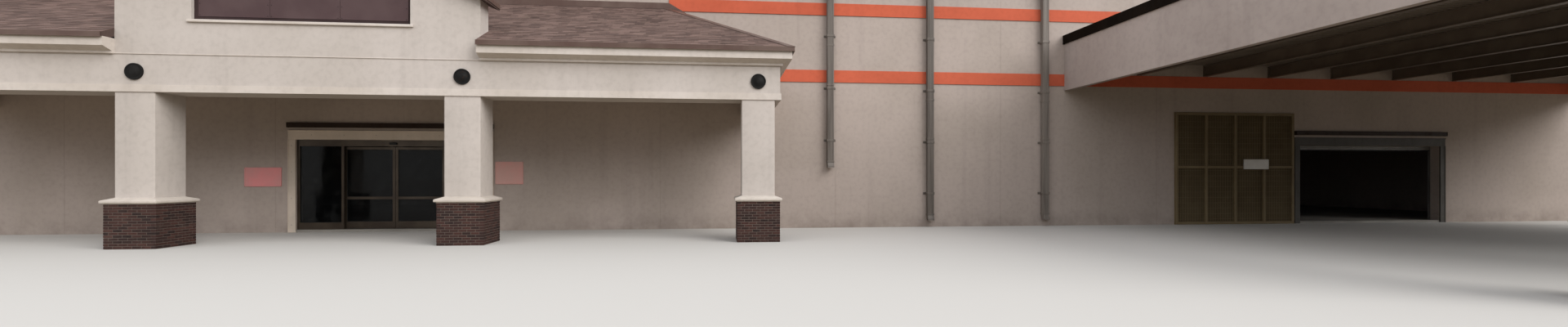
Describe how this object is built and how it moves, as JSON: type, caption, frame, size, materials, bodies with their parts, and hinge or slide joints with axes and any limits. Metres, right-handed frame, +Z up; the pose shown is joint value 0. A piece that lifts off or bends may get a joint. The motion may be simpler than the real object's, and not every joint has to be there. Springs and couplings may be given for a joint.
{
  "type": "garden center store building, 1:2 scale model",
  "caption": "Large garden center store front with a hip-roofed portico and gabled tower, sliding entrance doors and a drive-through canopy, as a 1:2 scale model.",
  "frame": {"origin": "on the ground in the middle of the entrance, on the centre plane of the front wall", "axes": "+X runs right along the front, -Y points out of the front, +Z is up"},
  "size_m": [29.8, 16.305, 4.66],
  "materials": {
    "wall_stucco": "painted stucco over masonry",
    "pale_stucco": "pale painted stucco",
    "trim_stucco": "light painted trim",
    "concrete": "smooth grey concrete",
    "brick": "dark red-brown brick",
    "cap_stone": "light cast stone",
    "orange_paint": "orange painted band",
    "shingles": "brown-grey shingles",
    "flat_roofing": "light grey roofing membrane",
    "panel_paint": "dark purple-brown panel",
    "black_metal": "near black paint",
    "dark_metal": "dark brown paint",
    "coping_metal": "brown painted sheet",
    "edge_metal": "near black sheet",
    "header_paint": "pale grey paint",
    "door_metal": "dark bronze anodised",
    "door_glass": "dark tinted glass",
    "shutter_metal": "grey painted steel slats",
    "fascia_stucco": "grey-brown stucco",
    "canopy_steel": "dark painted steel",
    "screen_mesh": "dark olive mesh and bars",
    "red_board": "dull red board",
    "white_board": "white board"
  },
  "bodies": {
    "building": {"floor_slab": "concrete", "front_wall_left": "wall_stucco", "wall_over_entrance": "wall_stucco", "front_wall_middle": "wall_stucco", "wall_over_shutter": "wall_stucco", "front_wall_right": "wall_stucco", "left_wall": "wall_stucco", "right_wall": "wall_stucco", "rear_wall": "wall_stucco", "roof_deck": "flat_roofing", "wall_coping": "coping_metal", "lower_band": "orange_paint", "upper_band": "orange_paint", "column_bases": "brick", "column_caps": "cap_stone", "portico_column_shafts": "pale_stucco", "canopy_column_shafts": "pale_stucco", "wing_beams": "pale_stucco", "tower_beam": "pale_stucco", "end_beams": "pale_stucco", "beam_trim": "trim_stucco", "cornices": "trim_stucco", "portico_ceiling": "pale_stucco", "medallions": "black_metal", "gable_wall": "pale_stucco", "gable_panel": "panel_paint", "gable_sill": "trim_stucco", "gable_roof": "shingles", "right_wing_roof": "shingles", "left_wing_roof": "shingles", "roof_flashing": "coping_metal", "opening_surrounds": "header_paint", "header_rails": "black_metal", "door_frame": "door_metal", "fixed_glass": "door_glass", "shutter_guides": "shutter_metal", "shutter_roll": "shutter_metal", "canopy_girder": "canopy_steel", "canopy_joists": "canopy_steel", "canopy_deck": "flat_roofing", "canopy_fascia": "fascia_stucco", "canopy_coping": "edge_metal", "downspouts": "dark_metal", "garden_screen": "screen_mesh", "wall_boards": "red_board", "screen_board": "white_board"},
    "left_leaf": {"left_leaf_frame": "door_metal", "left_leaf_glass": "door_glass"},
    "right_leaf": {"right_leaf_frame": "door_metal", "right_leaf_glass": "door_glass"}
  },
  "joints": [
    {"name": "left_leaf_slide", "type": "slide", "parent": "building", "child": "left_leaf", "axis": [-1, 0, 0], "range_m": [0, 0.62]},
    {"name": "right_leaf_slide", "type": "slide", "parent": "building", "child": "right_leaf", "axis": [1, 0, 0], "range_m": [0, 0.62]}
  ],
  "couplings": [
    {"joint": "right_leaf_slide", "follows": "left_leaf_slide", "ratio": 1}
  ]
}
